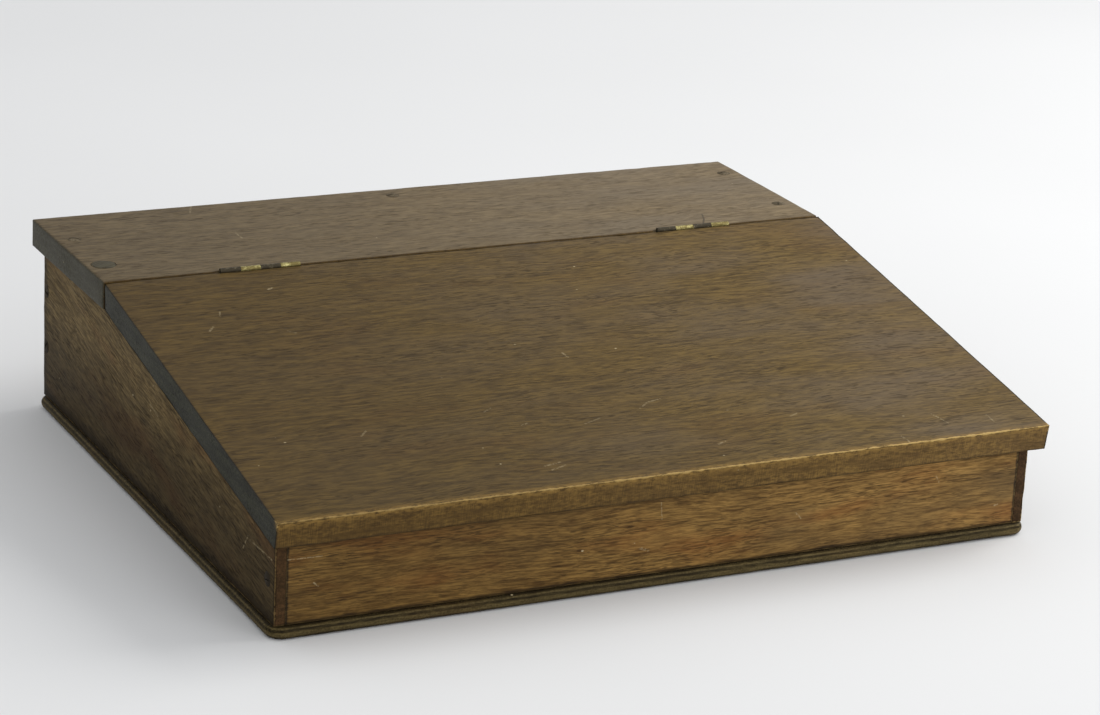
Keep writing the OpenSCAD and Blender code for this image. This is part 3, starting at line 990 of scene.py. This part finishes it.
# The front and the back board, which stand between the side boards; the scratches are the front's
panelSettings = {
    "arris": 0.45, "wear": 0.25, "wearReach": 0.495, "wearSeed": 17.0, "spacing": (4, 20, 12),
    "grain": (1, 0, -0.02),
    # the top band is painted shadow under the lid on the front and under the ledge on the back; the bottom
    # and end bands are dirt and painted shade at the joints
    "darkening": [(4, 2.6, 0.75), (0, 2.2, 0.85), (1, 2.2, 0.85), (5, 6.5, 0.75)],
    "strokes": (
        ((-220, -185, 43.5), (-201.5, -185, 43.2), 0.5, 0.8),
        ((-205.5, -185, 29), (-203, -185, 27), 0.6, 1.0), ((-6, -185, 48), (-5, -185, 38.5), 0.5, 0.7),
        ((78, -185, 31.5), (81.5, -185, 28), 0.6, 0.8),
        ((207, -185, 19.5), (209.5, -185, 20.3), 0.7, 1.0),
        ((167, -185, 42.3), (169, -185, 38.5), 0.6, 0.8),
        ((-17.5, -185, 23.5), (-12.5, -185, 21.5), 1.1, 0.6),
    ),
}
panelLook = {
    **lidLook, "seed": 57.0, "fine": 0.75, "fibre": 0.34, "streak": 0.6, "leftShadeLevel": 0.52,
    "light": tint(168, 132, 75), "dark": tint(87, 62, 31),
    "dusk": tint(76, 63, 45), "duskShare": 0.45, "duskSpread": (0.44, 0.68),
    "warm": tint(140, 88, 42), "warmShare": 0.45, "pore": tint(46, 33, 19), "poreShare": 0.65,
    "wornFaces": (), "wearWidth": 1.0, "wearShare": 0.15, "haloShare": 0.0, "arrisDirt": 0.3,
    "specular": 0.1,
}


def addPanel(node, name, slopedTop):
    s = panelSettings
    low, high = boxOf(node)
    drop = math.tan(slope) * (high.y - low.y) if slopedTop else 0.0
    outline = [(low.y, low.z), (high.y, low.z), (high.y, high.z), (low.y, high.z - drop)]
    panel = prismShape(name, outline, low.x, high.x)
    easeArrises(panel, s["arris"], s["spacing"])
    carve(panel, [caseScrewRoom("base_screws", (0, 0, -1), 0.0)])
    for side, out in (("left", -1), ("right", 1)):
        carve(panel, [caseScrewRoom(f"side_screws_{side}", (out, 0, 0), caseDome)])
    if not slopedTop:
        carve(panel, [caseScrewRoom("ledge_screws", (0, 0, 1), caseDome)])
    faces = blockFaces(low, high)
    if slopedTop:
        faces[5] = ((0, low.y, high.z - drop), (0, -math.sin(slope), math.cos(slope)))
    wearDown(panel, faces, s["wearReach"], s["wear"], s["wearSeed"])
    strokes = s["strokes"] if slopedTop else ()
    material = woodShader(name, panelLook, s["grain"], faces, bands=s["darkening"], strokes=strokes)
    return finishPiece(panel, node, "case", material)


# The side boards: level at the back, sloping under the lid, rabbeted for the front and back
sideSettings = {
    "arris": 0.7, "wear": 0.5, "wearReach": 0.77, "wearSeed": 23.0, "spacing": (20, 5, 6), "cut": 1.0,
    # the side darkens towards the bottom over 70 mm as painted shade near the floor, with dirt and painted
    # shade at the bottom, back and front joints
    "darkening": [(4, 9.0, 0.7), (4, 70.0, 0.6), (3, 9.0, 0.5), (2, 3.0, 0.4)],
    "strokes": (
        ((-227, -140.5, 34), (-227, -147, 43), 0.7, 0.7),
        ((-227, -150, 42), (-227, -180.5, 42.7), 0.7, 0.7),
        ((-227, 2.5, 64.4), (-227, -10.5, 61.8), 0.8, 0.6),
    ),
}
sideLook = {
    **lidLook, "seed": 83.0, "fine": 0.9, "leftShadeLevel": 1.0,
    "light": tint(124, 106, 73), "dark": tint(70, 57, 35),
    "dusk": tint(82, 69, 51), "duskShare": 0.4, "duskSpread": (0.44, 0.68),
    "warm": tint(100, 65, 38), "warmShare": 0.4, "pore": tint(30, 22, 12),
    "edgeLight": tint(94, 69, 47), "edgeDark": tint(56, 42, 29),
    "wornFaces": (), "wearWidth": 1.0, "wearShare": 0.3, "haloShare": 0.0, "arrisDirt": 0.7,
    "specular": 0.03,
}


def addSide(side):
    s = sideSettings
    node = f"side_panel_{side}"
    out = -1 if side == "left" else 1
    low, high = boxOf(node)
    ledgeLow = boxOf("ledge_board")[0]
    topFront = high.z - math.tan(slope) * (ledgeLow.y - low.y)
    outline = [
        (low.y, low.z), (high.y, low.z), (high.y, ledgeLow.z), (ledgeLow.y, ledgeLow.z),
        (ledgeLow.y, high.z), (low.y, topFront),
    ]
    board = prismShape(f"{node}_board", outline, low.x, high.x)
    lip = boxOf("front_panel")[1].x
    inner = min(abs(low.x), abs(high.x)) - s["cut"]
    ends = sorted((out * lip, out * inner))
    frontEnd = boxOf("front_panel")[1].y
    backEnd = boxOf("back_panel")[0].y
    rabbets = [
        blockShape("rabbet", (ends[0], low.y - s["cut"], low.z - 1), (ends[1], frontEnd, high.z + 1)),
        blockShape("rabbet", (ends[0], backEnd, low.z - 1), (ends[1], high.y + s["cut"], high.z + 1)),
    ]
    carve(board, [joined(rabbets)])
    easeArrises(board, s["arris"], s["spacing"])
    carve(board, [caseScrewRoom("base_screws", (0, 0, -1), 0.0)])
    carve(board, [caseScrewRoom(f"side_screws_{side}", (out, 0, 0), caseDome)])
    carve(board, [caseScrewRoom("ledge_screws", (0, 0, 1), caseDome)])
    faces = blockFaces(low, high)
    faces.append(((0, low.y, topFront), (0, -math.sin(slope), math.cos(slope))))
    wearDown(board, faces, s["wearReach"], s["wear"], s["wearSeed"])
    grain = (0, -math.cos(slope), -math.sin(slope))
    marks = {"bands": s["darkening"], "strokes": s["strokes"]}
    material = woodShader(f"side_wood_{side}", sideLook, grain, faces, saw=2, **marks)
    return finishPiece(board, node, "case", material)


# The base board, with a full round edge
baseSettings = {
    "corner": 9.0, "cornerSteps": 8, "roundSteps": 6, "spacing": 8,
    "wear": 0.35, "wearReach": 4.0, "wearSeed": 29.0,
}
baseLook = {
    **lidLook, "seed": 101.0, "fine": 0.8, "streak": 0.8, "leftShadeLevel": 0.6,
    "light": tint(96, 84, 54), "dark": tint(44, 37, 22),
    "dusk": tint(44, 38, 24), "duskShare": 0.5, "duskSpread": (0.44, 0.68), "pore": tint(26, 20, 12),
    "fresh": tint(146, 128, 86), "wornFaces": (), "wearWidth": 1.0, "wearShare": 0.4,
    "haloShare": 0.0, "arrisDirt": 0.0, "specular": 0.05,
}
# The lines along the base's round edge, partly painted light: the light lines are worn wood and a painted
# highlight on the round, the dark lines are dirt and painted shade at the joint and under the round; each
# is height, width, which of the look's colours, share
baseLinesWithPaintedLight = (
    (7.4, 0.8, "grimeAndShade", 0.9), (6.2, 0.5, "fresh", 0.25), (5.2, 0.7, "grimeAndShade", 0.5),
    (3.2, 1.6, "fresh", 0.25), (0.4, 1.0, "grimeAndShade", 0.8),
)


def addBase():
    s = baseSettings
    low, high = boxOf("base_board")
    base = blockShape("base_board_wood", low, high)
    bm = bmesh.new()
    bm.from_mesh(base.data)
    upright = [edge for edge in bm.edges if abs(edge.verts[0].co.z - edge.verts[1].co.z) > 1]
    bmesh.ops.bevel(
        bm, geom=upright, offset=s["corner"], offset_type="OFFSET", segments=s["cornerSteps"],
        profile=0.5, affect="EDGES", material=-1
    )
    level = [edge for edge in bm.edges if abs(edge.verts[0].co.z - edge.verts[1].co.z) < 1]
    bmesh.ops.bevel(
        bm, geom=level, offset=(high.z - low.z) * 0.495, offset_type="OFFSET",
        segments=s["roundSteps"], profile=0.5, affect="EDGES", material=-1
    )
    for axis in range(2):
        normal = Vector((1 - axis, axis, 0))
        inset = s["corner"]
        length = high[axis] - low[axis] - 2 * inset
        count = round(length / s["spacing"])
        for step in range(count + 1):
            place = normal * (low[axis] + inset + length * step / count)
            everything = bm.verts[:] + bm.edges[:] + bm.faces[:]
            bmesh.ops.bisect_plane(bm, geom=everything, dist=0.01, plane_co=place, plane_no=normal)
    bm.to_mesh(base.data)
    bm.free()
    carve(base, [caseScrewRoom("base_screws", (0, 0, -1), 0.0)])
    faces = blockFaces(low, high)
    wearDown(base, faces, s["wearReach"], s["wear"], s["wearSeed"])
    layers = [(height, width, baseLook[part], share) for height, width, part, share in baseLinesWithPaintedLight]
    material = woodShader("base_wood", baseLook, (1, 0, 0), faces, layers=layers)
    return finishPiece(base, "base_board", "case", material)


# The wooden plug over the sunk screw
plugSettings = {"ease": 0.35, "crown": 0.12, "grain": (1, 0.6, 0)}
plugLook = {**ledgeLook, "light": tint(92, 88, 68), "dark": tint(66, 62, 46), "seed": 140.0}


def addPlug():
    s = plugSettings
    low, high = boxOf("ledge_plug")
    middle = (low + high) / 2
    radius = (high.x - low.x) / 2
    profile = [(0, low.z), (radius, low.z), (radius, high.z - s["ease"] - s["crown"])]
    profile += [(radius - s["ease"], high.z - s["crown"])]
    profile += [(radius * 0.6, high.z - s["crown"] * 0.3), (0, high.z)]
    plug = turnedShape("ledge_plug_disc", profile, [Matrix.Translation((middle.x, middle.y, 0))], 64)
    material = woodShader("plug_wood", plugLook, s["grain"], blockFaces(low, high))
    return finishPiece(plug, "ledge_plug", "case", material)


def addScrews(node, kind, out, dome, turns, body, material):
    screws = screwShape(f"{node}_set", kind, node, out, dome, turns)
    return finishPiece(screws, node, body, material)


addLid()
addLedge()
print("lid and ledge built")

addPanel("front_panel", "front_board", True)
addPanel("back_panel", "back_board", False)
addSide("left")
addSide("right")
addBase()
addPlug()
print("case built")

bright = metalShader("bright_brass")
tarnished = metalShader("tarnished_brass")
steel = metalShader("dark_steel")
for hinge in hingeEnds:
    addLeaf(hinge, 1, "ledge", (0, 2), "case", tarnished)
    addLeaf(hinge, -1, "lid", (1, 3), "lid", bright)
    addPin(hinge, tarnished)
    turns = hingeSettings["screwTurns"]
    for half, side, body in (("ledge", 1, "case"), ("lid", -1, "lid")):
        node = f"hinge_{hinge}_{half}_screws"
        addScrews(node, "leaf", (0, -side, 0), 0.0, turns, body, bright)

# Which way each set of case screws faces, how far its heads are domed, and its slots' turns
caseScrews = {
    "ledge_screws": ((0, 0, 1), caseDome, (20, -35, 5, 60, 15)),
    "side_screws_left": ((-1, 0, 0), caseDome, (10, 50, -20)),
    "side_screws_right": ((1, 0, 0), caseDome, (-15, 30, 65)),
    "base_screws": ((0, 0, -1), 0.0, (0, 25, 70, -40)),
}
for node, (out, dome, turns) in caseScrews.items():
    addScrews(node, "case", out, dome, turns, "case", steel)
print("hinges and screws built")
